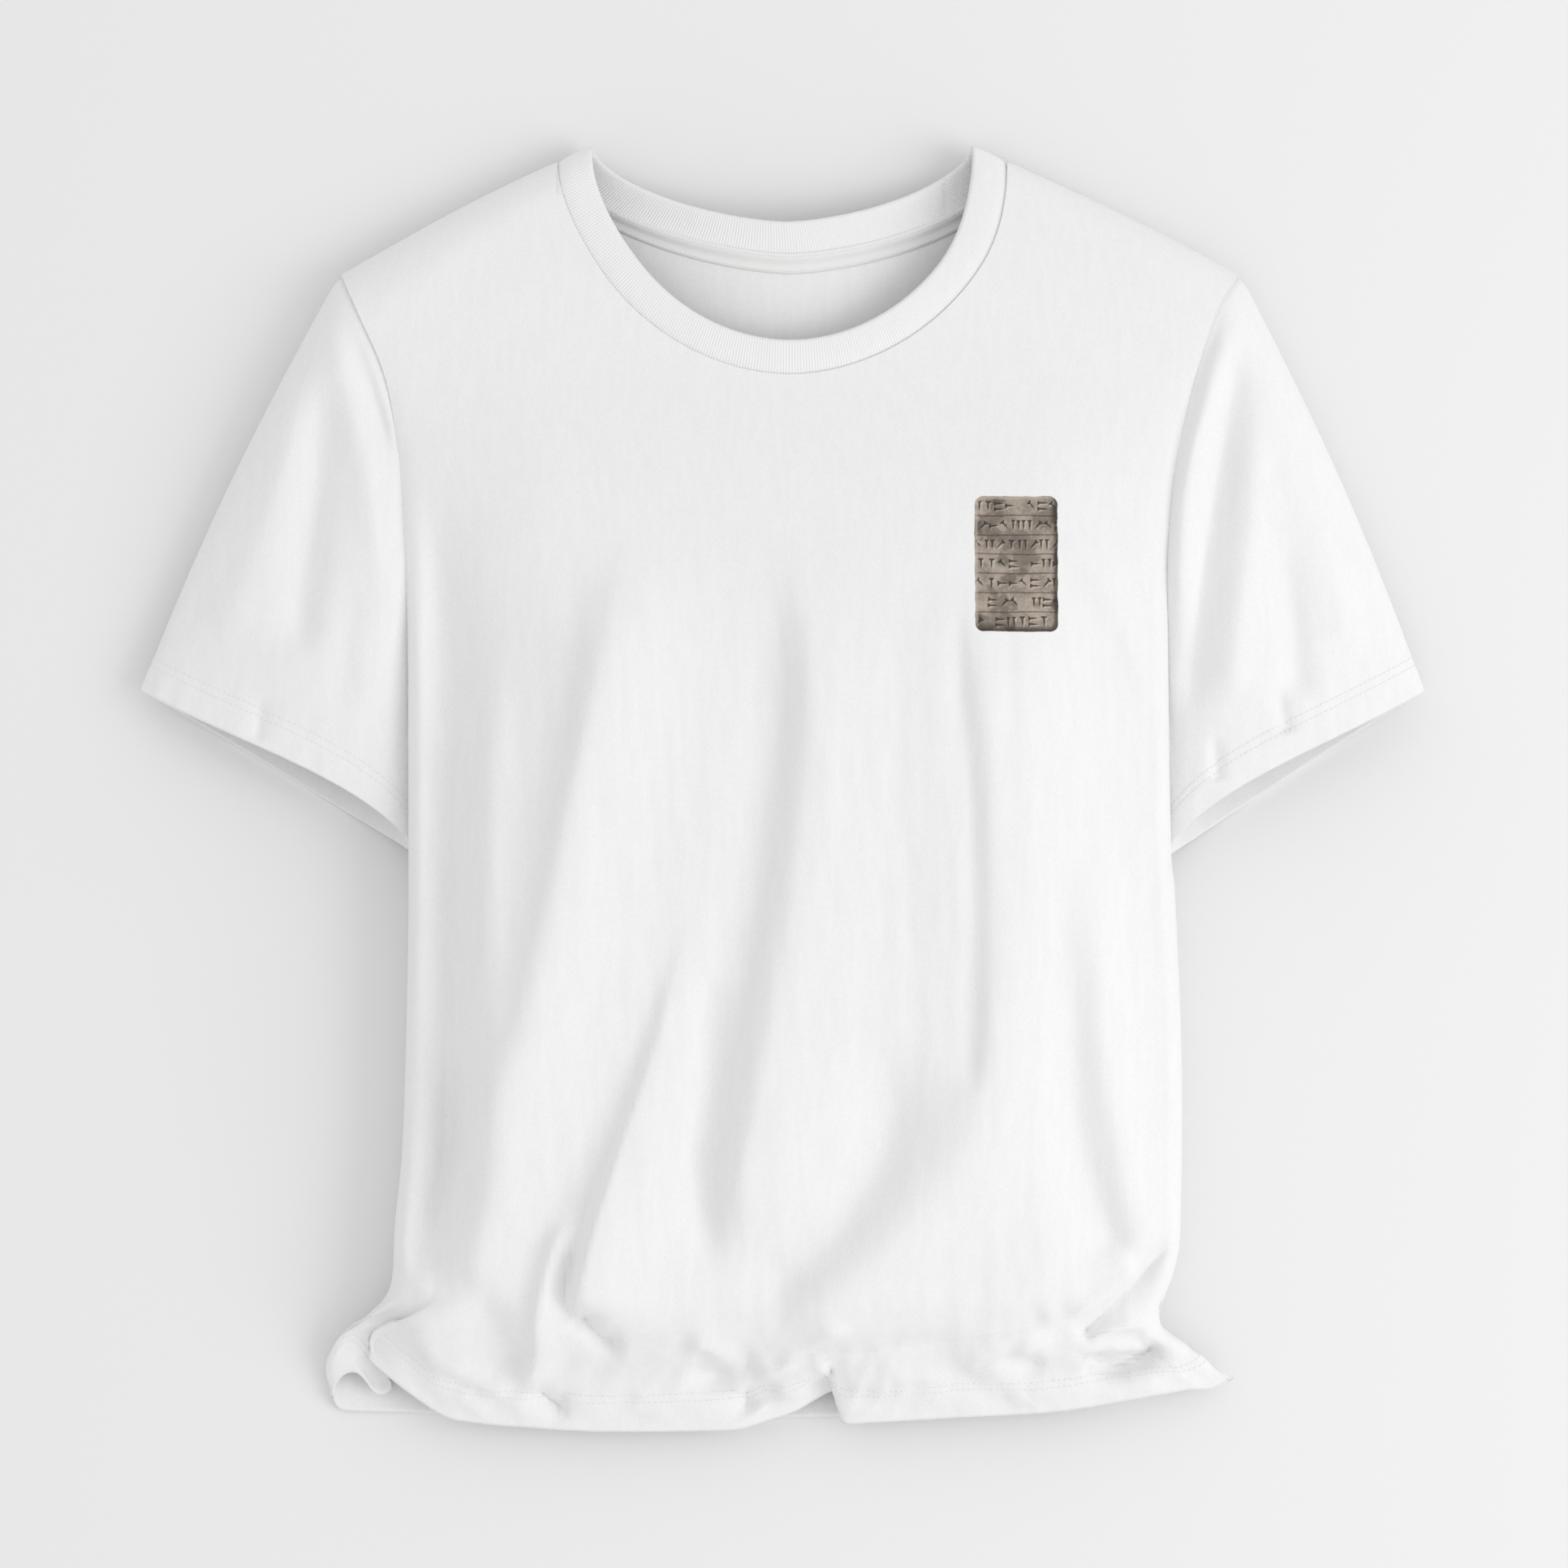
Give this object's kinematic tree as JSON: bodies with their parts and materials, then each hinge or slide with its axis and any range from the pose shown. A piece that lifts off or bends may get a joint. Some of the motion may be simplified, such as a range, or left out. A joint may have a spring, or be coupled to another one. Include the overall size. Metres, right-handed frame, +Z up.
{
  "type": "t-shirt",
  "caption": "Short-sleeved crew-neck T-shirt in white jersey, lying on its back with open neck, sleeves and hem, and a small printed tablet on the chest.",
  "frame": {"origin": "on the surface the shirt lies on, below the middle of its outline", "axes": "+Z up, out of the front of the shirt as it lies on its back; +Y from the hem to the collar; +X to the wearer's left sleeve"},
  "size_m": [0.6794, 0.68, 0.0832],
  "materials": {
    "jersey": "white cotton jersey, matt",
    "rib": "white cotton rib knit, matt",
    "tape": "white cotton twill tape, matt"
  },
  "bodies": {
    "root": {"front_body": "jersey", "back_body": "jersey", "left_sleeve": "jersey", "right_sleeve": "jersey", "collar_rib": "rib", "neck_tape": "tape"}
  },
  "joints": []
}
